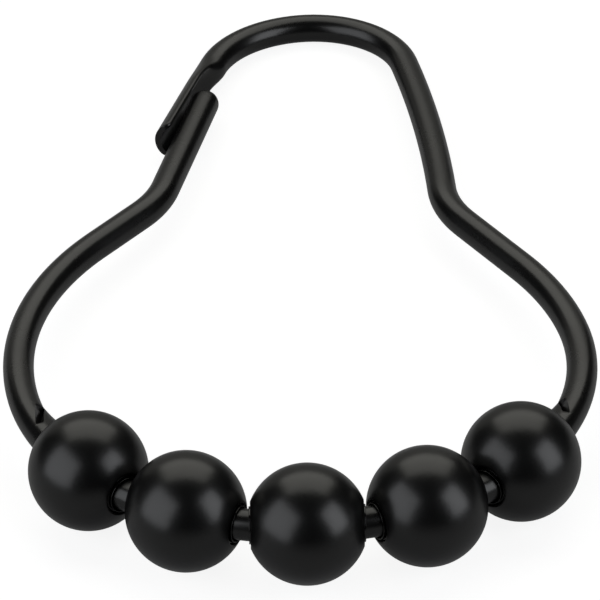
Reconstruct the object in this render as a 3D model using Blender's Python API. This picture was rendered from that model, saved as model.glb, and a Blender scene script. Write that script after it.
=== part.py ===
"""Shower curtain hook with five roller balls.

One steel wire is bent to a pear shape. Its wide end carries five hollow steel balls that roll on the
curtain rod, each on two flanged plastic bushes. Its narrow end holds the curtain's eyelet. One end of
the wire is pressed into an open trough, the catch, and the other end springs into it as the latch.
The hook lies on its side, as it comes to rest on a table. Lengths are in millimetres and angles in
degrees up to the last step, which places everything in metres.
"""

import math

import bmesh
import bpy
from mathutils import Matrix, Vector

MM = 0.001

# Wire
WIRE_D = 2.64

# Centre line of the wire. It is drawn anticlockwise, the balls at the bottom, and a heading is the
# direction of travel: 0 at the middle ball, 90 straight up the right side, 180 across the top.
BOTTOM_RADIUS = 24.05
LOBE_RADIUS = 29.5
LOBE_START_LEFT = 78.8
LOBE_START_RIGHT = 100.7
SHOULDER_HEADING_LEFT = 128.4
SHOULDER_HEADING_RIGHT = 121.6
SHOULDER_LENGTH = 8.65
NECK_RADIUS = 11.9
ARM_HEADING = 103.7
LEG_HEADING = 91.9
LEG_LENGTH = 23.1
LEG_TURN = 8.4
LOOP_RADIUS_RIGHT = 8.9
LOOP_TOP_HEADING = 191.0
LOOP_RADIUS_LEFT = 10.1
CATCH_HEADING = 252.8

# Catch, the open trough that one end of the wire is pressed into
CATCH_START = 1.2
CATCH_FORMING = 4.0
CATCH_TROUGH = 9.1
CATCH_WALL = 0.65
CATCH_RADIUS = 2.3
CATCH_HALF_WRAP = 50.0
CATCH_CORNER = 0.7

# Latch, the other end, which is rounded and lies in the trough's mouth
LATCH_OVER_FLOOR = 0.6
LATCH_END_GAP = 0.42

# Balls
BALL_COUNT = 5
BALL_D = 10.0
BALL_WALL = 0.4
MOUTH_EDGE = 0.16

# Bushes, one in each mouth of a ball. Heights are measured along the bore from the ball's centre.
BUSH_END = 4.74
BUSH_RUNNING_CLEARANCE = 0.13
BUSH_COLLAR_WALL = 0.14
BUSH_BODY_WALL = 0.3
BUSH_SHOULDER = 4.25
BUSH_BEARING_LENGTH = 0.5
BUSH_INNER_END = 3.45
BUSH_RELIEF = 0.16
BUSH_BARB = 0.26
BUSH_EDGE = 0.07
BUSH_FIT = 0.1
COLLAR_GAP = 0.12

# Stops, where the wire is staked so that the balls stay on the wide end
STOP_GAP = 0.5
BARB_LENGTH = 4.6
BARB_HEIGHT = 0.9
BARB_FACE = 0.35
GOUGE_START = 1.6
GOUGE_LENGTH = 2.8
GOUGE_WIDTH = 0.75
GOUGE_DEPTH = 0.55
GOUGE_RUNOUT = 0.28
BARB_GATHERING_POWER = 4

# Finishes
WIRE_BLACK = (0.012, 0.012, 0.013)
BALL_BLACK = (0.012, 0.012, 0.014)
BUSH_BLACK = (0.006, 0.006, 0.006)
WIRE_ROUGHNESS = 0.38
BALL_ROUGHNESS = 0.30
BUSH_ROUGHNESS = 0.12

# Fineness of the meshes
WIRE_SIDES = 16
WIRE_STEP = 2.0
FORMED_STEP = 0.7
STAKED_STEP = 0.4
CORNER_SHARES = (1.0, 0.6, 0.3, 0.1)
TIP_RING_COUNT = 5
BALL_SIDES = 28
BALL_OUTER_COUNT = 13
BALL_INNER_COUNT = 6
BUSH_SIDES = 18
FORMED_SHARP_ANGLE = 35.0
BALL_SHARP_ANGLE = 50.0
SAME = 1e-6

# Sizes that follow
WIRE_R = WIRE_D / 2
BALL_R = BALL_D / 2
BUSH_BORE_R = WIRE_R + BUSH_RUNNING_CLEARANCE
COLLAR_R = BUSH_BORE_R + BUSH_COLLAR_WALL
BUSH_BODY_R = BUSH_BORE_R + BUSH_BODY_WALL
MOUTH_R = BUSH_BODY_R + BUSH_FIT

# The wire crosses each bush's axis in the middle of its bearing, so the ball's centre lies on the
# chord between its two bearings, inside the wire's own arc.
BEARING_AT = BUSH_END - BUSH_BEARING_LENGTH / 2
BALL_CENTRE_RADIUS = math.sqrt(BOTTOM_RADIUS**2 - BEARING_AT**2)

# Neighbouring collars all but meet on the inner side of the bend, which sets the balls' spacing.
COLLAR_REACH = math.hypot(BALL_CENTRE_RADIUS - COLLAR_R, BUSH_END)
COLLAR_ANGLE = math.atan2(BUSH_END, BALL_CENTRE_RADIUS - COLLAR_R)
BALL_HALF_STEP = COLLAR_ANGLE + math.asin(COLLAR_GAP / 2 / COLLAR_REACH)
END_BALL_ANGLE = (BALL_COUNT - 1) * BALL_HALF_STEP

# A stop begins just beyond the last ball's collar.
STOP_START = (END_BALL_ANGLE + COLLAR_ANGLE) * BOTTOM_RADIUS + STOP_GAP
STOP_LENGTH = max(BARB_LENGTH, GOUGE_START + GOUGE_LENGTH)

LATCH_IN_TROUGH = CATCH_WALL + LATCH_OVER_FLOOR
LATCH_TIP_AT = CATCH_START + CATCH_FORMING + LATCH_END_GAP + WIRE_R
CATCH_LENGTH = CATCH_START + CATCH_FORMING + CATCH_TROUGH


def direction(heading):
    """Unit vector in the ring's plane for a heading in degrees."""
    return Vector((math.cos(math.radians(heading)), math.sin(math.radians(heading))))


def inward(heading):
    """Unit vector from the wire towards the inside of the ring."""
    return Vector((-math.sin(math.radians(heading)), math.cos(math.radians(heading))))


class Run:
    """A stretch of the centre line: an arc between two headings, or a straight where they are equal."""

    def __init__(self, start_heading, end_heading, radius=0.0, length=0.0):
        self.start_heading = start_heading
        turn = math.radians(end_heading - start_heading)
        self.length = length or abs(turn) * radius
        self.curvature = turn / self.length

    def at(self, distance):
        """Offset from the run's start, and the heading there."""
        heading = self.start_heading + math.degrees(self.curvature * distance)
        if abs(self.curvature) < SAME:
            return direction(heading) * distance, heading
        return (inward(self.start_heading) - inward(heading)) / self.curvature, heading

    def whole(self):
        return self.at(self.length)[0]


def straight(heading, length):
    return Run(heading, heading, length=length)


def arc(start_heading, end_heading, radius):
    return Run(start_heading, end_heading, radius=radius)


def right_side():
    """From the middle ball up the right side, over the loop and down to the end of the catch."""
    leg_end = LEG_HEADING + LEG_TURN
    return [
        arc(0.0, LOBE_START_RIGHT, BOTTOM_RADIUS),
        arc(LOBE_START_RIGHT, SHOULDER_HEADING_RIGHT, LOBE_RADIUS),
        straight(SHOULDER_HEADING_RIGHT, SHOULDER_LENGTH),
        arc(SHOULDER_HEADING_RIGHT, LEG_HEADING, NECK_RADIUS),
        Run(LEG_HEADING, leg_end, length=LEG_LENGTH),
        arc(leg_end, LOOP_TOP_HEADING, LOOP_RADIUS_RIGHT),
        arc(LOOP_TOP_HEADING, CATCH_HEADING, LOOP_RADIUS_LEFT),
        straight(CATCH_HEADING, CATCH_LENGTH),
    ]


def left_side(latch_centre):
    """From the latch's round end down the left side to the middle ball.

    The headings are given by the bends, and the arm and the shoulder are as long as it takes for the
    latch to lie in the trough.
    """
    neck = arc(-ARM_HEADING, -SHOULDER_HEADING_LEFT, NECK_RADIUS)
    lobe = arc(-SHOULDER_HEADING_LEFT, -LOBE_START_LEFT, LOBE_RADIUS)
    bottom = arc(-LOBE_START_LEFT, 0.0, BOTTOM_RADIUS)
    left_over = -latch_centre - neck.whole() - lobe.whole() - bottom.whole()
    arm_way = direction(-ARM_HEADING)
    shoulder_way = direction(-SHOULDER_HEADING_LEFT)
    lengths = Matrix(((arm_way.x, shoulder_way.x), (arm_way.y, shoulder_way.y))).inverted() @ left_over
    return [
        straight(-ARM_HEADING, lengths.x),
        neck,
        straight(-SHOULDER_HEADING_LEFT, lengths.y),
        lobe,
        bottom,
    ]


class CentreLine:
    """The whole wire as runs end to end, with distances measured from the middle ball."""

    def __init__(self):
        right = right_side()
        catch_from = sum((run.whole() for run in right[:-1]), Vector((0.0, 0.0)))
        latch_centre = (
            catch_from
            + direction(CATCH_HEADING) * LATCH_TIP_AT
            + inward(CATCH_HEADING) * LATCH_IN_TROUGH
        )
        left = left_side(latch_centre)
        self.runs = left + right
        self.start = -sum(run.length for run in left)
        self.end = sum(run.length for run in right)
        self.catch_from = self.end - right[-1].length
        self.origin = latch_centre

    def at(self, distance):
        """Point in the ring's plane and heading, a distance along the wire from the middle ball."""
        point = self.origin.copy()
        left = distance - self.start
        for run in self.runs[:-1]:
            if left <= run.length:
                break
            point += run.whole()
            left -= run.length
        else:
            run = self.runs[-1]
        offset, heading = run.at(left)
        return point + offset, heading

    def joints(self):
        """Distances at which one run hands over to the next."""
        places = [self.start]
        for run in self.runs:
            places.append(places[-1] + run.length)
        return places


def ramp(value, start, length):
    """Rises smoothly from 0 at start to 1 at start + length."""
    share = min(max((value - start) / length, 0.0), 1.0)
    return share * share * (3 - 2 * share)


def side_angles():
    """Angles round the wire's section, from the ring's inside. None lies at plus or minus 90."""
    return [(index + 0.5) * 2 * math.pi / WIRE_SIDES for index in range(WIRE_SIDES)]


def signed(angle):
    return angle - 2 * math.pi if angle > math.pi else angle


def round_section():
    return [(WIRE_R * math.cos(a), WIRE_R * math.sin(a)) for a in side_angles()]


def trough_section(half_wrap):
    """A curved wall, open towards the inside of the ring, whose back is in line with the round wire's."""
    centre = CATCH_RADIUS - WIRE_R
    last_inner = math.pi / 2 - math.pi / WIRE_SIDES
    points = []
    for angle in map(signed, side_angles()):
        if abs(angle) < math.pi / 2:
            radius = CATCH_RADIUS - CATCH_WALL
            wrap = half_wrap * angle / last_inner
        else:
            radius = CATCH_RADIUS
            wrap = half_wrap * math.copysign(math.pi - abs(angle), angle) / last_inner
        points.append((centre - radius * math.cos(wrap), radius * math.sin(wrap)))
    return points


def catch_section(along):
    """Section at a distance along the catch: the round wire is pressed flat and cupped into the trough."""
    formed = ramp(along, CATCH_START, CATCH_FORMING)
    rounding = min(max((along - (CATCH_LENGTH - CATCH_CORNER)) / CATCH_CORNER, 0.0), 1.0)
    end_share = 1 - (1 - math.sqrt(1 - rounding**2)) * CATCH_CORNER / CATCH_RADIUS
    half_wrap = math.radians(CATCH_HALF_WRAP) * end_share
    pairs = zip(round_section(), trough_section(half_wrap))
    return [tuple(a + (b - a) * formed for a, b in zip(*pair)) for pair in pairs]


def staked_section(beyond):
    """Section at a distance beyond the start of a stop, where a chisel has gouged the wire's upper side.

    The gouge runs slantwise from the top of the wire to its inner side. The metal inside it stands up
    as a barb, highest at the end that faces the balls.
    """
    barb = BARB_HEIGHT * ramp(beyond, 0.0, BARB_FACE) * max(0.0, 1 - beyond / BARB_LENGTH)
    into = beyond - GOUGE_START
    open_here = ramp(into, 0.0, GOUGE_RUNOUT) - ramp(into, GOUGE_LENGTH - GOUGE_RUNOUT, GOUGE_RUNOUT)
    wall = WIRE_R * min(max(into / GOUGE_LENGTH, 0.0), 1.0)
    points = []
    for angle in side_angles():
        a, w = WIRE_R * math.cos(angle), WIRE_R * math.sin(angle)
        behind_wall = (wall - a) / GOUGE_WIDTH
        if w > 0 and 0.0 <= behind_wall < 1.0:
            w -= GOUGE_DEPTH * open_here * (1 - behind_wall)
        if a > 0:
            a += barb * (a / WIRE_R) ** BARB_GATHERING_POWER
        points.append((a, w))
    return points


def section_at(line, distance):
    beyond = abs(distance) - STOP_START
    if distance > line.catch_from:
        return catch_section(distance - line.catch_from)
    if 0.0 < beyond < STOP_LENGTH:
        return staked_section(beyond)
    return round_section()


def stations(line):
    """Distances at which the wire's section is set out, closer where the wire is formed."""
    stops = [STOP_START + far for far in (0.0, BARB_FACE, STOP_LENGTH)]
    formed = [line.catch_from + CATCH_START, line.catch_from + CATCH_START + CATCH_FORMING]
    corner = [line.end - CATCH_CORNER * share for share in CORNER_SHARES]
    marks = sorted(line.joints() + stops + [-stop for stop in stops] + formed + corner)
    places = [marks[0]]
    for low, high in zip(marks, marks[1:]):
        middle = (low + high) / 2
        step = WIRE_STEP
        if middle > line.catch_from:
            step = FORMED_STEP
        if 0.0 < abs(middle) - STOP_START < STOP_LENGTH:
            step = STAKED_STEP
        count = max(1, math.ceil((high - low) / step - SAME))
        if high - low > SAME:
            places += [low + (high - low) * (index + 1) / count for index in range(count)]
    return places


def ring_of(line, distance, section, back=0.0):
    """A section's points in three dimensions, moved back along the wire where the tip is rounded."""
    point, heading = line.at(distance)
    point = point - direction(heading) * back
    inner = inward(heading)
    return [Vector((point.x + a * inner.x, point.y + a * inner.y, w)) for a, w in section]


def new_object(name, mesh, material, parent, sharp_angle=FORMED_SHARP_ANGLE):
    mesh.shade_smooth()
    mesh.set_sharp_from_angle(angle=math.radians(sharp_angle))
    mesh.materials.clear()
    mesh.materials.append(material)
    obj = bpy.data.objects.new(name, mesh)
    bpy.context.collection.objects.link(obj)
    obj.parent = parent
    return obj


def new_empty(name, matrix, parent=None):
    obj = bpy.data.objects.new(name, None)
    bpy.context.collection.objects.link(obj)
    obj.parent = parent
    obj.matrix_local = matrix
    obj.empty_display_size = BALL_R * MM
    return obj


def new_material(name, colour, roughness):
    material = bpy.data.materials.new(name)
    material.use_nodes = True
    shader = material.node_tree.nodes["Principled BSDF"]
    shader.inputs["Base Color"].default_value = (*colour, 1.0)
    shader.inputs["Roughness"].default_value = roughness
    shader.inputs["Metallic"].default_value = 0.0
    return material


def finish_mesh(name, bm):
    """Turns a bmesh in millimetres into a mesh in metres with its faces pointing out."""
    bmesh.ops.recalc_face_normals(bm, faces=bm.faces)
    bmesh.ops.scale(bm, vec=(MM, MM, MM), verts=bm.verts)
    mesh = bpy.data.meshes.new(name)
    bm.to_mesh(mesh)
    bm.free()
    return mesh


def wire_mesh(line):
    """The wire as one closed skin over its sections, from the round latch to the end of the trough."""
    rings = []
    for index in range(TIP_RING_COUNT - 1, 0, -1):
        angle = math.pi / 2 * index / TIP_RING_COUNT
        shrunk = [(a * math.cos(angle), w * math.cos(angle)) for a, w in round_section()]
        rings.append(ring_of(line, line.start, shrunk, back=WIRE_R * math.sin(angle)))
    rings += [ring_of(line, place, section_at(line, place)) for place in stations(line)]

    bm = bmesh.new()
    loops = [[bm.verts.new(point) for point in ring] for ring in rings]
    for one, two in zip(loops, loops[1:]):
        for index in range(WIRE_SIDES):
            after = (index + 1) % WIRE_SIDES
            bm.faces.new((one[index], one[after], two[after], two[index]))
    start_point, start_heading = line.at(line.start)
    apex = start_point - direction(start_heading) * WIRE_R
    pole = bm.verts.new((apex.x, apex.y, 0.0))
    for index in range(WIRE_SIDES):
        bm.faces.new((pole, loops[0][(index + 1) % WIRE_SIDES], loops[0][index]))
    cap = loops[-1]
    half = WIRE_SIDES // 2
    quarter = WIRE_SIDES // 4
    inner = [cap[index % WIRE_SIDES] for index in range(-quarter, quarter)]
    outer = [cap[half - 1 - index] for index in range(-quarter, quarter)]
    for index in range(half - 1):
        bm.faces.new((inner[index], inner[index + 1], outer[index + 1], outer[index]))
    return finish_mesh("wire_ring", bm)


def turned_mesh(name, profile, sides):
    """A closed profile of (radius, height) points turned about the Z axis."""
    bm = bmesh.new()
    loops = []
    for index in range(sides):
        angle = 2 * math.pi * index / sides
        loops.append([bm.verts.new((r * math.cos(angle), r * math.sin(angle), z)) for r, z in profile])
    for index, one in enumerate(loops):
        two = loops[(index + 1) % sides]
        for low in range(len(profile)):
            high = (low + 1) % len(profile)
            bm.faces.new((one[low], two[low], two[high], one[high]))
    return finish_mesh(name, bm)


def sphere_arc(radius, start_radius, count):
    """Points down a sphere's side, between the two circles of the given radius about its axis."""
    first = math.asin(start_radius / radius)
    angles = [first + (math.pi - 2 * first) * index / (count - 1) for index in range(count)]
    return [(radius * math.sin(angle), radius * math.cos(angle)) for angle in angles]


def ball_mesh():
    """A thin steel shell with a round-edged mouth at each pole."""
    outer = sphere_arc(BALL_R, MOUTH_R + MOUTH_EDGE, BALL_OUTER_COUNT)
    inner = sphere_arc(BALL_R - BALL_WALL, MOUTH_R, BALL_INNER_COUNT)
    rim_height = outer[0][1]
    slant = MOUTH_EDGE * (1 - math.sqrt(0.5))
    edge = [(MOUTH_R + slant, rim_height - slant), (MOUTH_R, rim_height - MOUTH_EDGE)]
    lower_edge = [(r, -z) for r, z in reversed(edge)]
    profile = list(reversed(edge)) + outer + list(reversed(lower_edge)) + list(reversed(inner))
    return turned_mesh("ball", profile, BALL_SIDES)


def bush_mesh():
    """A flanged bush: a thin collar runs on the wire, and a barb holds the body in the ball's mouth."""
    relief_r = BUSH_BORE_R + BUSH_RELIEF
    bearing_start = BUSH_END - BUSH_BEARING_LENGTH
    shell_inside = math.sqrt((BALL_R - BALL_WALL) ** 2 - (BUSH_BODY_R + BUSH_BARB) ** 2)
    barb_at = shell_inside - BUSH_FIT
    profile = [
        (BUSH_BORE_R, BUSH_END),
        (BUSH_BORE_R, bearing_start),
        (relief_r, bearing_start - BUSH_RELIEF),
        (relief_r, BUSH_INNER_END),
        (BUSH_BODY_R - BUSH_EDGE, BUSH_INNER_END),
        (BUSH_BODY_R + BUSH_BARB, barb_at),
        (BUSH_BODY_R, barb_at + BUSH_EDGE),
        (BUSH_BODY_R, BUSH_SHOULDER),
        (COLLAR_R, BUSH_SHOULDER),
        (COLLAR_R, BUSH_END - BUSH_EDGE),
        (COLLAR_R - BUSH_EDGE, BUSH_END),
    ]
    return turned_mesh("bush", profile, BUSH_SIDES)


def rest_matrix(line):
    """Ring plane to table: the outer balls and the top of the loop touch the table together."""
    places = [line.at(place)[0] for place in stations(line)]
    top = max(point.y for point in places)
    end_ball_height = BOTTOM_RADIUS - BALL_CENTRE_RADIUS * math.cos(END_BALL_ANGLE)
    tilt = math.asin((BALL_R - WIRE_R) / (top - end_ball_height))
    lift = BALL_R + end_ball_height * math.sin(tilt)
    middle_ball = BOTTOM_RADIUS - BALL_CENTRE_RADIUS
    front = middle_ball * math.cos(tilt) - BALL_R
    back = top * math.cos(tilt) + WIRE_R
    sides = [point.x for point in places]
    centre_x = (min(sides) + max(sides)) / 2
    place = Vector((-centre_x, -(front + back) / 2, lift)) * MM
    return Matrix.Translation(place) @ Matrix.Rotation(-tilt, 4, "X")


def add_ball(number, rest, meshes, steel_finish, bush_finish):
    """One ball with its two bushes, on an axis that touches the wire's curve."""
    angle = (number - (BALL_COUNT + 1) / 2) * 2 * BALL_HALF_STEP
    centre = Vector(
        (
            BALL_CENTRE_RADIUS * math.sin(angle),
            BOTTOM_RADIUS - BALL_CENTRE_RADIUS * math.cos(angle),
            0.0,
        )
    )
    along_wire = Matrix.Rotation(angle, 4, "Z") @ Matrix.Rotation(math.pi / 2, 4, "Y")
    axis = new_empty(f"ball_{number}_axis", Matrix.Translation(centre * MM) @ along_wire, rest)
    new_object(f"ball_{number}", meshes["ball"], steel_finish, axis, sharp_angle=BALL_SHARP_ANGLE)
    new_object(f"bush_{number}_right", meshes["bush"], bush_finish, axis)
    left = new_object(f"bush_{number}_left", meshes["bush"], bush_finish, axis)
    left.rotation_euler = (math.pi, 0.0, 0.0)


def build():
    for obj in list(bpy.data.objects):
        bpy.data.objects.remove(obj, do_unlink=True)

    wire_finish = new_material("black_painted_wire", WIRE_BLACK, WIRE_ROUGHNESS)
    ball_finish = new_material("black_satin_ball", BALL_BLACK, BALL_ROUGHNESS)
    bush_finish = new_material("black_gloss_plastic", BUSH_BLACK, BUSH_ROUGHNESS)

    line = CentreLine()
    rest = new_empty("rest_frame", rest_matrix(line))
    new_object("wire_ring", wire_mesh(line), wire_finish, rest)
    meshes = {"ball": ball_mesh(), "bush": bush_mesh()}
    for number in range(1, BALL_COUNT + 1):
        add_ball(number, rest, meshes, ball_finish, bush_finish)


build()
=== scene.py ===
"""Looks of the shower curtain hook: finer meshes for the wire, the balls and their bushes, their
finishes, a pale floor, soft studio light and the photograph's camera.

The sizes below are in millimetres and degrees, as in the part's source. Lengths become metres
where a mesh, a lamp or the camera is made.
"""

import math

import bmesh
import bpy
from mathutils import Euler, Matrix, Vector


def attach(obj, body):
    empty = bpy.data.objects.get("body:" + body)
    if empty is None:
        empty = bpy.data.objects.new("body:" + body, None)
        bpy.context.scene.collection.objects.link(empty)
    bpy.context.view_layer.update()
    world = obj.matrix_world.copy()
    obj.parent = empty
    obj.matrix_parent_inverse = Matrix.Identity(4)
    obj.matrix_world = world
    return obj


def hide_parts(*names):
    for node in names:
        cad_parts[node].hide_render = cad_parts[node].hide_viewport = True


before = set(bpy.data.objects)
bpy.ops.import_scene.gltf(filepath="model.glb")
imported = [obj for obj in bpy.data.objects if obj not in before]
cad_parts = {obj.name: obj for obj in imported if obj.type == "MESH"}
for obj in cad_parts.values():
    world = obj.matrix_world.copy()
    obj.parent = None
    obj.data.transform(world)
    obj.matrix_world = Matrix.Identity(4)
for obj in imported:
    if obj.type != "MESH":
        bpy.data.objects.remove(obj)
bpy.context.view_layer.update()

# A millimetre in metres, and the length under which two places count as one
MM = 0.001
SAME = 1e-6

# Wire, with its centre line drawn anticlockwise from the middle ball
WIRE_D = 2.64
BOTTOM_RADIUS = 24.05
LOBE_RADIUS = 29.5
LOBE_START_LEFT = 78.8
LOBE_START_RIGHT = 100.7
SHOULDER_HEADING_LEFT = 128.4
SHOULDER_HEADING_RIGHT = 121.6
SHOULDER_LENGTH = 8.65
NECK_RADIUS = 11.9
ARM_HEADING = 103.7
LEG_HEADING = 91.9
LEG_LENGTH = 23.1
LEG_TURN = 8.4
LOOP_RADIUS_RIGHT = 8.9
LOOP_TOP_HEADING = 191.0
LOOP_RADIUS_LEFT = 10.1
CATCH_HEADING = 252.8

# Catch and latch
CATCH_START = 0.2
CATCH_FORMING = 5.0
CATCH_TROUGH = 9.1
CATCH_WALL = 0.5
CATCH_RADIUS = 1.95
CATCH_HALF_WRAP = 66.0
CATCH_CORNER = 0.7
LATCH_OVER_FLOOR = 0.75
LATCH_END_GAP = 0.42

# Balls
BALL_COUNT = 5
BALL_D = 10.0
BALL_WALL = 0.4
MOUTH_EDGE = 0.12

# Bushes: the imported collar's wall sets the balls' spacing, and the shown wall is a little thinner
BUSH_END = 4.74
BUSH_RUNNING_CLEARANCE = 0.13
BUSH_COLLAR_WALL = 0.14
COLLAR_SHOWN_WALL = 0.1
BUSH_BODY_WALL = 0.22
BUSH_SHOULDER = 4.4
BUSH_BEARING_LENGTH = 0.5
BUSH_INNER_END = 3.45
BUSH_RELIEF = 0.16
BUSH_BARB = 0.26
BUSH_EDGE = 0.07
BUSH_FIT = 0.1
COLLAR_GAP = 0.12

# Fillets of a bush
BORE_FILLET = 0.05
INNER_END_FILLET = 0.05
BARB_FILLET = 0.03
SHOULDER_FILLET = 0.06
COLLAR_BACK_FILLET = 0.04
COLLAR_FILLET = 0.09

# Stops: each has a barb on the ring's inside and a gouge in the wire's upper side behind it
STOP_GAP = 0.5
BARB_LENGTH_LEFT = 4.3
BARB_LENGTH_RIGHT = 3.1
BARB_HEIGHT = 0.9
BARB_FACE = 0.35
BARB_GATHERING_POWER = 4
GOUGE_START = 1.05
GOUGE_LENGTH_LEFT = 3.0
GOUGE_LENGTH_RIGHT = 2.1
GOUGE_WIDTH = 0.75
GOUGE_DEPTH = 1.0
GOUGE_RUNOUT = 0.2

# A gouge's wall crosses the wire from its root to its reach, both as shares of the wire's radius. The
# edge is the share of the gouge's width in which the wall comes down to the floor. The wire keeps at
# least the last share of its half height at that place.
GOUGE_ROOT = 0.14
GOUGE_REACH = 0.96
GOUGE_EDGE = 0.25
GOUGE_LEAST_LEFT = 0.4

# Fineness of the meshes
WIRE_SIDES = 64
WIRE_STEP = 0.7
FORMED_STEP = 0.15
TIP_RING_COUNT = 14
CORNER_SHARES = (1.0, 0.8, 0.6, 0.4, 0.25, 0.12, 0.04, 0.01)
BALL_SIDES = 112
BALL_OUTSIDE_COUNT = 60
BALL_INSIDE_COUNT = 24
MOUTH_EDGE_STEPS = 8
BUSH_SIDES = 72
FILLET_STEPS = 5
FILLET_MOST_OF_SIDE = 0.49
SHARP_ANGLE = 40.0

# Columns of mesh points, counted from the ring's inside to the gouge's lip, to its wall's foot and to
# its far side, and the length beyond the gouge in which they spread evenly again
LIP_COLUMNS = 7.5
WALL_COLUMNS = 12.5
GOUGE_COLUMNS = 20.5
UNGATHER_LENGTH = 0.7

# Finishes
WIRE_BLACK = (0.0018, 0.0018, 0.0018)
BALL_BLACK = (0.0018, 0.0018, 0.0019)
BUSH_BLACK = (0.0020, 0.0020, 0.0020)
WIRE_ROUGHNESS = 0.28
BALL_ROUGHNESS = 0.30
BUSH_ROUGHNESS = 0.12
WIRE_GRAIN_SIZE = 0.35
BALL_GRAIN_SIZE = 0.45
BUSH_GRAIN_SIZE = 0.5
PAINT_GRAIN_DEPTH = 0.02
BUSH_GRAIN_DEPTH = 0.01
GRAIN_DETAIL = 2.0
GRAIN_STRENGTH = 0.25
CLOUDS_PER_METRE = 350.0
CLOUD_DETAIL = 3.0
ROUGHNESS_SPREAD = 0.03
TINT_SPREAD = 0.15
FINISH_IOR = 1.5

# Floor, with a painted reflection that stands in for it in reflections and behind glass (a dim pale
# patch with a faint glow round the object, fading to dark further out), and the room round it
FLOOR_HALF_SIDE = 1500.0
FLOOR_COLOUR = 0.24
FLOOR_GLOW = 0.88
FLOOR_ROUGHNESS = 0.9
# Painted reflection: the colour and glow the floor shows only in reflections and behind glass, and the
# radii over which this fades to dark
PAINTED_REFLECTION_COLOUR = 0.3
PAINTED_REFLECTION_GLOW = 0.1
PAINTED_REFLECTION_INNER = 50.0
PAINTED_REFLECTION_OUTER = 90.0
PAINTED_REFLECTION_BEYOND = 0.05
ROOM_LEVEL = 0.012
WHITE = (1.0, 1.0, 1.0, 1.0)

# Soft boxes, as azimuth, elevation, width and height in degrees, radiance and colour
LAMP_DISTANCE = 600.0
WARM_LIGHT = (1.0, 0.99, 0.92)
COOL_LIGHT = (0.95, 0.97, 1.0)
SOFT_BOXES = {
    "back_box": (88.0, 55.0, 68.0, 52.0, 1.4, WARM_LIGHT),
    "back_fill": (97.0, 14.0, 70.0, 30.0, 0.2, WARM_LIGHT),
    "left_box": (209.0, 26.0, 60.0, 56.0, 1.75, COOL_LIGHT),
    "right_box": (-27.0, 28.0, 36.0, 46.0, 2.4, COOL_LIGHT),
}

# Camera of the photograph
CAMERA_PLACE = (-5.0534, -317.5767, 229.448)
CAMERA_TURN = (54.1217, 0.5056, -1.335)
CAMERA_LENS = 264.2731
CAMERA_SENSOR = 36.0
CAMERA_NEAR = 10.0
CAMERA_FAR = 10000.0

# Sizes that follow, with the angles in radians
WIRE_R = WIRE_D / 2
BALL_R = BALL_D / 2
BUSH_BORE_R = WIRE_R + BUSH_RUNNING_CLEARANCE
COLLAR_R = BUSH_BORE_R + BUSH_COLLAR_WALL
COLLAR_SHOWN_R = BUSH_BORE_R + COLLAR_SHOWN_WALL
BUSH_BODY_R = BUSH_BORE_R + BUSH_BODY_WALL
MOUTH_R = BUSH_BODY_R + BUSH_FIT
BEARING_AT = BUSH_END - BUSH_BEARING_LENGTH / 2
BALL_CENTRE_RADIUS = math.sqrt(BOTTOM_RADIUS**2 - BEARING_AT**2)
COLLAR_REACH = math.hypot(BALL_CENTRE_RADIUS - COLLAR_R, BUSH_END)
COLLAR_ANGLE = math.atan2(BUSH_END, BALL_CENTRE_RADIUS - COLLAR_R)
BALL_HALF_STEP = COLLAR_ANGLE + math.asin(COLLAR_GAP / 2 / COLLAR_REACH)
END_BALL_ANGLE = (BALL_COUNT - 1) * BALL_HALF_STEP
STOP_START = (END_BALL_ANGLE + COLLAR_ANGLE) * BOTTOM_RADIUS + STOP_GAP
STOP_LENGTH = max(BARB_LENGTH_LEFT, GOUGE_START + GOUGE_LENGTH_LEFT + UNGATHER_LENGTH)
LATCH_IN_TROUGH = CATCH_WALL + LATCH_OVER_FLOOR
LATCH_TIP_AT = CATCH_START + CATCH_FORMING + LATCH_END_GAP + WIRE_R
CATCH_LENGTH = CATCH_START + CATCH_FORMING + CATCH_TROUGH


def direction(heading):
    """Unit vector in the ring's plane for a heading."""
    return Vector((math.cos(math.radians(heading)), math.sin(math.radians(heading))))


def inward(heading):
    """Unit vector from the wire towards the inside of the ring."""
    return Vector((-math.sin(math.radians(heading)), math.cos(math.radians(heading))))


class Run:
    """A stretch of the centre line: an arc, or a straight where both headings are equal."""

    def __init__(self, start_heading, end_heading, radius=0.0, length=0.0):
        self.start_heading = start_heading
        turn = math.radians(end_heading - start_heading)
        self.length = length or abs(turn) * radius
        self.curvature = turn / self.length

    def at(self, distance):
        """Offset from the run's start, and the heading there."""
        heading = self.start_heading + math.degrees(self.curvature * distance)
        if abs(self.curvature) < SAME:
            return direction(heading) * distance, heading
        return (inward(self.start_heading) - inward(heading)) / self.curvature, heading

    def whole(self):
        """Offset from the run's start to its end."""
        return self.at(self.length)[0]


def straight(heading, length):
    """A run that keeps its heading."""
    return Run(heading, heading, length=length)


def arc(start_heading, end_heading, radius):
    """A run of one radius."""
    return Run(start_heading, end_heading, radius=radius)


def right_side():
    """From the middle ball up the right side, over the loop and down to the end of the catch."""
    leg_end = LEG_HEADING + LEG_TURN
    return [
        arc(0.0, LOBE_START_RIGHT, BOTTOM_RADIUS),
        arc(LOBE_START_RIGHT, SHOULDER_HEADING_RIGHT, LOBE_RADIUS),
        straight(SHOULDER_HEADING_RIGHT, SHOULDER_LENGTH),
        arc(SHOULDER_HEADING_RIGHT, LEG_HEADING, NECK_RADIUS),
        Run(LEG_HEADING, leg_end, length=LEG_LENGTH),
        arc(leg_end, LOOP_TOP_HEADING, LOOP_RADIUS_RIGHT),
        arc(LOOP_TOP_HEADING, CATCH_HEADING, LOOP_RADIUS_LEFT),
        straight(CATCH_HEADING, CATCH_LENGTH),
    ]


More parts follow.
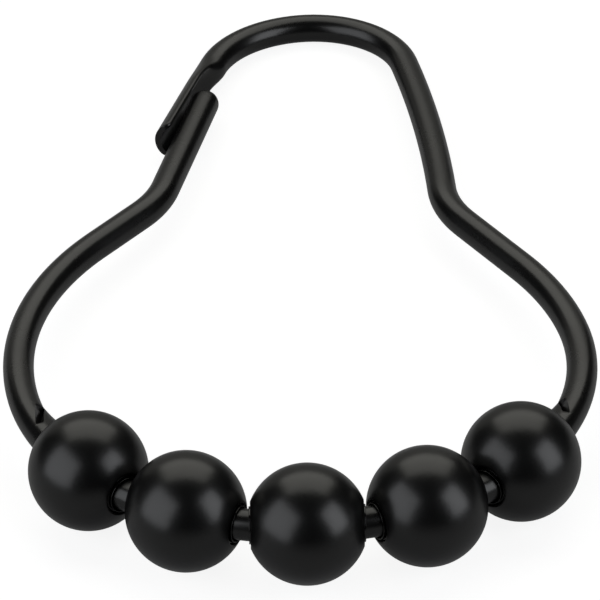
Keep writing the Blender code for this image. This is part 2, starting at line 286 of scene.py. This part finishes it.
def left_side(latch_centre):
    """From the latch's round end down the left side to the middle ball.

    The arm and the shoulder take the lengths that bring the last run back to the middle ball.
    """
    neck = arc(-ARM_HEADING, -SHOULDER_HEADING_LEFT, NECK_RADIUS)
    lobe = arc(-SHOULDER_HEADING_LEFT, -LOBE_START_LEFT, LOBE_RADIUS)
    bottom = arc(-LOBE_START_LEFT, 0.0, BOTTOM_RADIUS)
    to_cover = -latch_centre - neck.whole() - lobe.whole() - bottom.whole()
    arm_way = direction(-ARM_HEADING)
    shoulder_way = direction(-SHOULDER_HEADING_LEFT)
    ways = Matrix(((arm_way.x, shoulder_way.x), (arm_way.y, shoulder_way.y)))
    lengths = ways.inverted() @ to_cover
    return [
        straight(-ARM_HEADING, lengths.x),
        neck,
        straight(-SHOULDER_HEADING_LEFT, lengths.y),
        lobe,
        bottom,
    ]


class CentreLine:
    """The whole wire as runs end to end, with distances measured from the middle ball."""

    def __init__(self):
        right = right_side()
        catch_from = sum((run.whole() for run in right[:-1]), Vector((0.0, 0.0)))
        latch_centre = (
            catch_from
            + direction(CATCH_HEADING) * LATCH_TIP_AT
            + inward(CATCH_HEADING) * LATCH_IN_TROUGH
        )
        left = left_side(latch_centre)
        self.runs = left + right
        self.start = -sum(run.length for run in left)
        self.end = sum(run.length for run in right)
        self.catch_from = self.end - right[-1].length
        self.origin = latch_centre

    def at(self, distance):
        """Point in the ring's plane and heading, a distance along the wire from the middle ball."""
        point = self.origin.copy()
        to_go = distance - self.start
        for run in self.runs[:-1]:
            if to_go <= run.length:
                break
            point += run.whole()
            to_go -= run.length
        else:
            run = self.runs[-1]
        offset, heading = run.at(to_go)
        return point + offset, heading

    def joints(self):
        """Distances at which one run hands over to the next."""
        places = [self.start]
        for run in self.runs:
            places.append(places[-1] + run.length)
        return places


def share_of(value, start, length):
    """How far a value has come from start to start + length, from 0 to 1."""
    return min(max((value - start) / length, 0.0), 1.0)


def ramp(value, start, length):
    """Rises smoothly from 0 at start to 1 at start + length."""
    share = share_of(value, start, length)
    return share * share * (3 - 2 * share)


# The wire's sections are points (a, w), with a towards the ring's inside and w up from its plane
def side_angles():
    """Angles in radians round the wire's section, from the ring's inside."""
    return [(index + 0.5) * 2 * math.pi / WIRE_SIDES for index in range(WIRE_SIDES)]


def round_section():
    """The plain wire."""
    return [(WIRE_R * math.cos(a), WIRE_R * math.sin(a)) for a in side_angles()]


def trough_section(half_wrap):
    """A curved wall with round rims, open to the ring's inside, for a half wrap in radians.

    Its points are evenly spaced, from the middle of the trough's floor round to the same place.
    """
    centre = CATCH_RADIUS - WIRE_R
    inner_r = CATCH_RADIUS - CATCH_WALL
    rim_r = CATCH_WALL / 2
    middle_r = CATCH_RADIUS - rim_r
    rim_a = centre - middle_r * math.cos(half_wrap)
    rim_w = middle_r * math.sin(half_wrap)
    inner = inner_r * half_wrap
    rim = math.pi * rim_r
    outer = CATCH_RADIUS * half_wrap
    points = []
    for index in range(WIRE_SIDES):
        share = (index + 0.5) / WIRE_SIDES * 2
        side = 1.0
        if share > 1.0:
            share = 2.0 - share
            side = -1.0
        length = share * (inner + rim + outer)
        if length < inner:
            angle = length / inner_r
            a = centre - inner_r * math.cos(angle)
            w = inner_r * math.sin(angle)
        elif length < inner + rim:
            around = (length - inner) / rim_r - half_wrap
            a = rim_a + rim_r * math.cos(around)
            w = rim_w + rim_r * math.sin(around)
        else:
            angle = half_wrap - (length - inner - rim) / CATCH_RADIUS
            a = centre - CATCH_RADIUS * math.cos(angle)
            w = CATCH_RADIUS * math.sin(angle)
        points.append((a, side * w))
    return points


def catch_section(along):
    """Section at a distance along the catch, where the round wire is pressed into the trough."""
    formed = ramp(along, CATCH_START, CATCH_FORMING)
    rounding = share_of(along, CATCH_LENGTH - CATCH_CORNER, CATCH_CORNER)
    end_share = 1 - (1 - math.sqrt(1 - rounding**2)) * CATCH_CORNER / CATCH_RADIUS
    half_wrap = math.radians(CATCH_HALF_WRAP) * end_share
    pairs = zip(round_section(), trough_section(half_wrap))
    return [tuple(a + (b - a) * formed for a, b in zip(*pair)) for pair in pairs]


def gathered_angles(wall, share):
    """Angles round a stop's section, gathered so that columns of points follow the gouge's wall."""
    foot = wall - GOUGE_EDGE * GOUGE_WIDTH
    far_side = wall - GOUGE_WIDTH
    columns = (0.0, LIP_COLUMNS, WALL_COLUMNS, GOUGE_COLUMNS, WIRE_SIDES / 2)
    angles = (0.0, *[math.acos(a / WIRE_R) for a in (wall, foot, far_side)], math.pi)
    gathered = []
    for index, even in enumerate(side_angles()):
        column = index + 0.5
        angle = even
        for low in range(len(columns) - 1):
            if columns[low] <= column < columns[low + 1]:
                part = (column - columns[low]) / (columns[low + 1] - columns[low])
                angle = angles[low] + (angles[low + 1] - angles[low]) * part
        gathered.append(even + (angle - even) * share)
    return gathered


def staked_section(beyond, barb_length, gouge_length):
    """Section at a distance beyond a stop's start, where a chisel has gouged the wire's upper side."""
    barb = BARB_HEIGHT * ramp(beyond, 0.0, BARB_FACE) * max(0.0, 1 - beyond / barb_length)
    into = beyond - GOUGE_START
    opened = ramp(into, 0.0, GOUGE_RUNOUT) - ramp(into, gouge_length - GOUGE_RUNOUT, GOUGE_RUNOUT)
    crossed = share_of(into, 0.0, gouge_length)
    wall = WIRE_R * (GOUGE_ROOT + (GOUGE_REACH - GOUGE_ROOT) * crossed)
    gathering = ramp(beyond, 0.0, GOUGE_START) - ramp(into, gouge_length, UNGATHER_LENGTH)
    points = []
    for angle in gathered_angles(wall, gathering):
        a, w = WIRE_R * math.cos(angle), WIRE_R * math.sin(angle)
        behind_wall = (wall - a) / GOUGE_WIDTH
        if w > 0 and 0.0 < behind_wall < 1.0:
            depth = GOUGE_DEPTH * opened * ramp(behind_wall, 0.0, GOUGE_EDGE) * (1 - behind_wall)
            w -= min(depth, (2 - GOUGE_LEAST_LEFT) * w)
        if a > 0:
            a += barb * (a / WIRE_R) ** BARB_GATHERING_POWER
        points.append((a, w))
    return points


def in_stop(distance):
    """Whether a distance along the wire lies in one of the two stops."""
    return 0.0 < abs(distance) - STOP_START < STOP_LENGTH


def section_at(line, distance):
    """The wire's section at a distance along it."""
    if distance > line.catch_from:
        return catch_section(distance - line.catch_from)
    if not in_stop(distance):
        return round_section()
    beyond = abs(distance) - STOP_START
    if distance < 0.0:
        return staked_section(beyond, BARB_LENGTH_LEFT, GOUGE_LENGTH_LEFT)
    return staked_section(beyond, BARB_LENGTH_RIGHT, GOUGE_LENGTH_RIGHT)


def stations(line):
    """Distances at which the wire's section is set out, closer where the wire is formed."""
    stops = [STOP_START + far for far in (0.0, BARB_FACE, STOP_LENGTH)]
    corner = [line.end - CATCH_CORNER * share for share in CORNER_SHARES]
    marks = sorted(line.joints() + stops + [-stop for stop in stops] + corner)
    places = [marks[0]]
    for low, high in zip(marks, marks[1:]):
        if high - low <= SAME:
            continue
        middle = (low + high) / 2
        step = FORMED_STEP if middle > line.catch_from or in_stop(middle) else WIRE_STEP
        count = max(1, math.ceil((high - low) / step - SAME))
        places += [low + (high - low) * (index + 1) / count for index in range(count)]
    return places


def ring_of(line, distance, section, back=0.0):
    """A section's points in three dimensions, moved back along the wire for the round tip."""
    point, heading = line.at(distance)
    point = point - direction(heading) * back
    inner = inward(heading)
    return [Vector((point.x + a * inner.x, point.y + a * inner.y, w)) for a, w in section]


def rest_matrix(line):
    """Ring plane to table: the outer balls and the top of the loop touch the table."""
    places = [line.at(place)[0] for place in stations(line)]
    top = max(point.y for point in places)
    end_ball_height = BOTTOM_RADIUS - BALL_CENTRE_RADIUS * math.cos(END_BALL_ANGLE)
    tilt = math.asin((BALL_R - WIRE_R) / (top - end_ball_height))
    lift = BALL_R + end_ball_height * math.sin(tilt)
    middle_ball = BOTTOM_RADIUS - BALL_CENTRE_RADIUS
    front = middle_ball * math.cos(tilt) - BALL_R
    back = top * math.cos(tilt) + WIRE_R
    sides = [point.x for point in places]
    centre_x = (min(sides) + max(sides)) / 2
    leaning = Matrix.Rotation(-tilt, 4, "X")
    return Matrix.Translation((-centre_x, -(front + back) / 2, lift)) @ leaning


def ball_matrix(rest, number):
    """Turned shapes to table: a ball's axis touches the wire's curve."""
    angle = (number - (BALL_COUNT + 1) / 2) * 2 * BALL_HALF_STEP
    x = BALL_CENTRE_RADIUS * math.sin(angle)
    y = BOTTOM_RADIUS - BALL_CENTRE_RADIUS * math.cos(angle)
    along_wire = Matrix.Rotation(angle, 4, "Z") @ Matrix.Rotation(math.pi / 2, 4, "Y")
    return rest @ Matrix.Translation((x, y, 0.0)) @ along_wire


def linked_object(name, data):
    """A new object in the scene."""
    obj = bpy.data.objects.new(name, data)
    bpy.context.collection.objects.link(obj)
    return obj


def piece(name, bm, matrix, material, body, slot, *nodes):
    """A bmesh in millimetres becomes a piece of the object that stands for its CAD nodes."""
    bmesh.ops.recalc_face_normals(bm, faces=bm.faces)
    bm.transform(Matrix.Scale(MM, 4) @ matrix)
    mesh = bpy.data.meshes.new(name)
    bm.to_mesh(mesh)
    bm.free()
    mesh.shade_smooth()
    mesh.set_sharp_from_angle(angle=math.radians(SHARP_ANGLE))
    mesh.materials.append(material)
    obj = linked_object(name, mesh)
    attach(obj, body)
    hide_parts(*nodes)


def wire_rings(line):
    """The wire's sections in place, from the latch's round tip to the end of the trough."""
    rings = []
    for index in range(TIP_RING_COUNT - 1, 0, -1):
        angle = math.pi / 2 * index / TIP_RING_COUNT
        shrunk = [(a * math.cos(angle), w * math.cos(angle)) for a, w in round_section()]
        rings.append(ring_of(line, line.start, shrunk, back=WIRE_R * math.sin(angle)))
    return rings + [ring_of(line, place, section_at(line, place)) for place in stations(line)]


def wire_bmesh(line):
    """The wire as one closed skin over its sections."""
    bm = bmesh.new()
    loops = [[bm.verts.new(point) for point in ring] for ring in wire_rings(line)]
    for one, two in zip(loops, loops[1:]):
        for index in range(WIRE_SIDES):
            after = (index + 1) % WIRE_SIDES
            bm.faces.new((one[index], one[after], two[after], two[index]))

    # Point of the round tip
    start_point, start_heading = line.at(line.start)
    apex = start_point - direction(start_heading) * WIRE_R
    pole = bm.verts.new((apex.x, apex.y, 0.0))
    for index in range(WIRE_SIDES):
        bm.faces.new((pole, loops[0][(index + 1) % WIRE_SIDES], loops[0][index]))

    # End of the trough, as a strip of faces between its floor and its back
    cap = loops[-1]
    half = WIRE_SIDES // 2
    quarter = WIRE_SIDES // 4
    inner = [cap[index % WIRE_SIDES] for index in range(-quarter, quarter)]
    outer = [cap[half - 1 - index] for index in range(-quarter, quarter)]
    for index in range(half - 1):
        bm.faces.new((inner[index], inner[index + 1], outer[index + 1], outer[index]))
    return bm


def turned_bmesh(profile, sides):
    """A closed profile of (radius, height) points turned about the Z axis."""
    bm = bmesh.new()
    loops = []
    for index in range(sides):
        angle = 2 * math.pi * index / sides
        across, up = math.cos(angle), math.sin(angle)
        loops.append([bm.verts.new((r * across, r * up, z)) for r, z in profile])
    for index, one in enumerate(loops):
        two = loops[(index + 1) % sides]
        for low in range(len(profile)):
            high = (low + 1) % len(profile)
            bm.faces.new((one[low], two[low], two[high], one[high]))
    return bm


def rounded(corners):
    """A closed profile of (radius, height) points, from corners that also give their fillet."""
    outline = []
    for index, (*corner, fillet) in enumerate(corners):
        here = Vector(corner)
        if fillet <= 0.0:
            outline.append(tuple(here))
            continue
        before = Vector(corners[index - 1][:2]) - here
        after = Vector(corners[(index + 1) % len(corners)][:2]) - here
        most = min(before.length * FILLET_MOST_OF_SIDE, after.length * FILLET_MOST_OF_SIDE)
        reach = min(fillet / math.tan(before.angle(after) / 2), most)
        start = here + before.normalized() * reach
        end = here + after.normalized() * reach
        for step in range(FILLET_STEPS + 1):
            share = step / FILLET_STEPS
            outline.append(tuple(start.lerp(here, share).lerp(here.lerp(end, share), share)))
    return outline


def sphere_arc(radius, start, count):
    """Points down a sphere's side, between the two circles at an angle in radians from its poles."""
    angles = [start + (math.pi - 2 * start) * index / (count - 1) for index in range(count)]
    return [(radius * math.sin(angle), radius * math.cos(angle)) for angle in angles]


def ball_profile():
    """A thin shell whose edge turns smoothly into the mouth at each pole."""
    edge_r = MOUTH_R + MOUTH_EDGE
    edge_reach = BALL_R - MOUTH_EDGE
    start = math.asin(edge_r / edge_reach)
    edge_z = edge_reach * math.cos(start)
    edge_from = math.pi / 2 - start
    edge = []
    for index in range(1, MOUTH_EDGE_STEPS + 1):
        around = edge_from + (math.pi - edge_from) * (index / MOUTH_EDGE_STEPS)
        r = edge_r + MOUTH_EDGE * math.cos(around)
        edge.append((r, edge_z + MOUTH_EDGE * math.sin(around)))
    lower_edge = [(r, -z) for r, z in edge]
    outside = sphere_arc(BALL_R, start, BALL_OUTSIDE_COUNT)
    inner_r = BALL_R - BALL_WALL
    inside = sphere_arc(inner_r, math.asin(MOUTH_R / inner_r), BALL_INSIDE_COUNT)
    return edge[::-1] + outside + lower_edge + inside[::-1]


def bush_profile():
    """A flanged bush with a round-edged collar, as corners of radius, height and fillet."""
    relief_r = BUSH_BORE_R + BUSH_RELIEF
    barb_r = BUSH_BODY_R + BUSH_BARB
    bearing_start = BUSH_END - BUSH_BEARING_LENGTH
    barb_at = math.sqrt((BALL_R - BALL_WALL) ** 2 - barb_r**2) - BUSH_FIT
    return rounded([
        (BUSH_BORE_R, BUSH_END, BORE_FILLET),
        (BUSH_BORE_R, bearing_start, 0.0),
        (relief_r, bearing_start - BUSH_RELIEF, 0.0),
        (relief_r, BUSH_INNER_END, 0.0),
        (BUSH_BODY_R - BUSH_EDGE, BUSH_INNER_END, INNER_END_FILLET),
        (barb_r, barb_at, BARB_FILLET),
        (BUSH_BODY_R, barb_at + BUSH_EDGE, 0.0),
        (BUSH_BODY_R, BUSH_SHOULDER, SHOULDER_FILLET),
        (COLLAR_SHOWN_R, BUSH_SHOULDER, COLLAR_BACK_FILLET),
        (COLLAR_SHOWN_R, BUSH_END, COLLAR_FILLET),
    ])


def node_material(name):
    """A new material, with its nodes, its links and its shader."""
    material = bpy.data.materials.new(name)
    material.use_nodes = True
    nodes = material.node_tree.nodes
    return material, nodes, material.node_tree.links, nodes["Principled BSDF"]


def noise_node(nodes, scale, detail):
    """A noise texture, with its scale in features per metre."""
    noise = nodes.new("ShaderNodeTexNoise")
    noise.inputs["Scale"].default_value = scale
    noise.inputs["Detail"].default_value = detail
    return noise


def math_node(nodes, operation):
    """A math node for one operation."""
    node = nodes.new("ShaderNodeMath")
    node.operation = operation
    return node


def black_finish(name, colour, roughness, grain_size, grain_depth):
    """Near-black paint or plastic with a faint orange peel and a slightly uneven gloss and tint."""
    material, nodes, links, shader = node_material(name)
    shader.inputs["IOR"].default_value = FINISH_IOR
    place = nodes.new("ShaderNodeTexCoord")
    cloud = noise_node(nodes, CLOUDS_PER_METRE, CLOUD_DETAIL)
    links.new(place.outputs["Object"], cloud.inputs["Vector"])

    gloss = nodes.new("ShaderNodeMapRange")
    gloss.inputs["To Min"].default_value = roughness - ROUGHNESS_SPREAD
    gloss.inputs["To Max"].default_value = roughness + ROUGHNESS_SPREAD
    links.new(cloud.outputs["Fac"], gloss.inputs["Value"])
    links.new(gloss.outputs["Result"], shader.inputs["Roughness"])

    tint = nodes.new("ShaderNodeMix")
    tint.data_type = "RGBA"
    tint.inputs["A"].default_value = (*[part * (1 - TINT_SPREAD) for part in colour], 1.0)
    tint.inputs["B"].default_value = (*[part * (1 + TINT_SPREAD) for part in colour], 1.0)
    links.new(cloud.outputs["Fac"], tint.inputs["Factor"])
    links.new(tint.outputs["Result"], shader.inputs["Base Color"])

    peel = noise_node(nodes, 1 / (grain_size * MM), GRAIN_DETAIL)
    links.new(place.outputs["Object"], peel.inputs["Vector"])
    bump = nodes.new("ShaderNodeBump")
    bump.inputs["Strength"].default_value = GRAIN_STRENGTH
    bump.inputs["Distance"].default_value = grain_depth * MM
    links.new(peel.outputs["Fac"], bump.inputs["Height"])
    links.new(bump.outputs["Normal"], shader.inputs["Normal"])
    return material


def floor_material():
    """White to the camera; in reflections and behind glass, a painted reflection: a dim pale patch
    with a faint glow round the object that fades to dark further out.
    """
    material, nodes, links, shader = node_material("floor_white")
    shader.inputs["Roughness"].default_value = FLOOR_ROUGHNESS
    shader.inputs["Specular IOR Level"].default_value = 0.0
    shader.inputs["Emission Color"].default_value = WHITE

    place = nodes.new("ShaderNodeTexCoord")
    apart = nodes.new("ShaderNodeVectorMath")
    apart.operation = "LENGTH"
    links.new(place.outputs["Object"], apart.inputs["Vector"])
    # Painted reflection: near the object the floor seen in reflections is a dim pale patch, and
    # further out it fades to dark
    reflection_patch = nodes.new("ShaderNodeMapRange")
    reflection_patch.interpolation_type = "SMOOTHSTEP"
    reflection_patch.inputs["From Min"].default_value = PAINTED_REFLECTION_INNER * MM
    reflection_patch.inputs["From Max"].default_value = PAINTED_REFLECTION_OUTER * MM
    reflection_patch.inputs["To Min"].default_value = 1.0
    reflection_patch.inputs["To Max"].default_value = PAINTED_REFLECTION_BEYOND
    links.new(apart.outputs["Value"], reflection_patch.inputs["Value"])

    ray = nodes.new("ShaderNodeLightPath")
    mirrored = math_node(nodes, "MAXIMUM")
    links.new(ray.outputs["Is Glossy Ray"], mirrored.inputs[0])
    links.new(ray.outputs["Is Transmission Ray"], mirrored.inputs[1])
    in_mirror = math_node(nodes, "MULTIPLY")
    links.new(mirrored.outputs["Value"], in_mirror.inputs[0])
    links.new(reflection_patch.outputs["Result"], in_mirror.inputs[1])

    # Painted reflection: glossy and transmission rays see the patch's colour in place of the floor's
    # own
    tone = nodes.new("ShaderNodeMix")
    tone.inputs["A"].default_value = FLOOR_COLOUR
    tone.inputs["B"].default_value = PAINTED_REFLECTION_COLOUR
    links.new(in_mirror.outputs["Value"], tone.inputs["Factor"])
    links.new(tone.outputs["Result"], shader.inputs["Base Color"])

    seen = math_node(nodes, "MULTIPLY")
    seen.inputs[1].default_value = FLOOR_GLOW
    links.new(ray.outputs["Is Camera Ray"], seen.inputs[0])
    # Painted reflection: a faint glow that only reflections and glass see, added to the white that the
    # camera sees
    glow = math_node(nodes, "MULTIPLY_ADD")
    glow.inputs[1].default_value = PAINTED_REFLECTION_GLOW
    links.new(in_mirror.outputs["Value"], glow.inputs[0])
    links.new(seen.outputs["Value"], glow.inputs[2])
    links.new(glow.outputs["Value"], shader.inputs["Emission Strength"])
    return material


def pale_floor():
    """A floor that keeps the object's soft shadow."""
    bm = bmesh.new()
    bmesh.ops.create_grid(bm, x_segments=1, y_segments=1, size=FLOOR_HALF_SIDE * MM)
    mesh = bpy.data.meshes.new("floor")
    bm.to_mesh(mesh)
    bm.free()
    mesh.materials.append(floor_material())
    obj = linked_object("floor", mesh)


def studio_world():
    """A dim grey room round the soft boxes, white where the camera looks past the floor."""
    world = bpy.data.worlds.new("studio")
    bpy.context.scene.world = world
    world.use_nodes = True
    nodes, links = world.node_tree.nodes, world.node_tree.links
    background = nodes["Background"]
    background.inputs["Color"].default_value = WHITE
    ray = nodes.new("ShaderNodeLightPath")
    level = nodes.new("ShaderNodeMapRange")
    level.inputs["To Min"].default_value = ROOM_LEVEL
    level.inputs["To Max"].default_value = 1.0
    links.new(ray.outputs["Is Camera Ray"], level.inputs["Value"])
    links.new(level.outputs["Result"], background.inputs["Strength"])


def soft_box(name, azimuth, elevation, width, height, radiance, colour):
    """A soft box that faces the object, placed and sized by angles as the object sees it."""
    lamp = bpy.data.lights.new(name, "AREA")
    lamp.shape = "RECTANGLE"
    lamp.size = 2 * LAMP_DISTANCE * MM * math.tan(math.radians(width / 2))
    lamp.size_y = 2 * LAMP_DISTANCE * MM * math.tan(math.radians(height / 2))
    lamp.energy = radiance * math.pi * lamp.size * lamp.size_y
    lamp.color = colour
    obj = linked_object(name, lamp)
    level = direction(azimuth) * math.cos(math.radians(elevation))
    way = Vector((level.x, level.y, math.sin(math.radians(elevation))))
    obj.location = way * LAMP_DISTANCE * MM
    obj.rotation_euler = (-way).to_track_quat("-Z", "Y").to_euler()


def photo_camera():
    """The photograph's camera, as the scene's own."""
    camera = bpy.data.cameras.new("photo_camera")
    camera.sensor_width = CAMERA_SENSOR
    camera.lens = CAMERA_LENS
    camera.clip_start = CAMERA_NEAR * MM
    camera.clip_end = CAMERA_FAR * MM
    obj = linked_object("photo_camera", camera)
    obj.location = Vector(CAMERA_PLACE) * MM
    obj.rotation_euler = Euler([math.radians(turn) for turn in CAMERA_TURN])
    bpy.context.scene.camera = obj


line = CentreLine()
rest = rest_matrix(line)

wire_paint = black_finish(
    "black_wire_paint", WIRE_BLACK, WIRE_ROUGHNESS, WIRE_GRAIN_SIZE, PAINT_GRAIN_DEPTH
)
ball_paint = black_finish(
    "black_ball_paint", BALL_BLACK, BALL_ROUGHNESS, BALL_GRAIN_SIZE, PAINT_GRAIN_DEPTH
)
bush_plastic = black_finish(
    "black_bush_plastic", BUSH_BLACK, BUSH_ROUGHNESS, BUSH_GRAIN_SIZE, BUSH_GRAIN_DEPTH
)

piece("wire_skin", wire_bmesh(line), rest, wire_paint, "wire", "painted_wire", "wire_ring")
for number in range(1, BALL_COUNT + 1):
    place = ball_matrix(rest, number)
    body = f"roller_{number}"
    ball = turned_bmesh(ball_profile(), BALL_SIDES)
    piece(f"ball_{number}_skin", ball, place, ball_paint, body, "painted_ball", f"ball_{number}")
    for side, turn in (("right", 0.0), ("left", math.pi)):
        bush = turned_bmesh(bush_profile(), BUSH_SIDES)
        turned = place @ Matrix.Rotation(turn, 4, "X")
        node = f"bush_{number}_{side}"
        piece(f"{node}_skin", bush, turned, bush_plastic, body, "plastic_bush", node)

pale_floor()
studio_world()
for name, settings in SOFT_BOXES.items():
    soft_box(name, *settings)
photo_camera()
bpy.context.scene.view_settings.view_transform = "Standard"
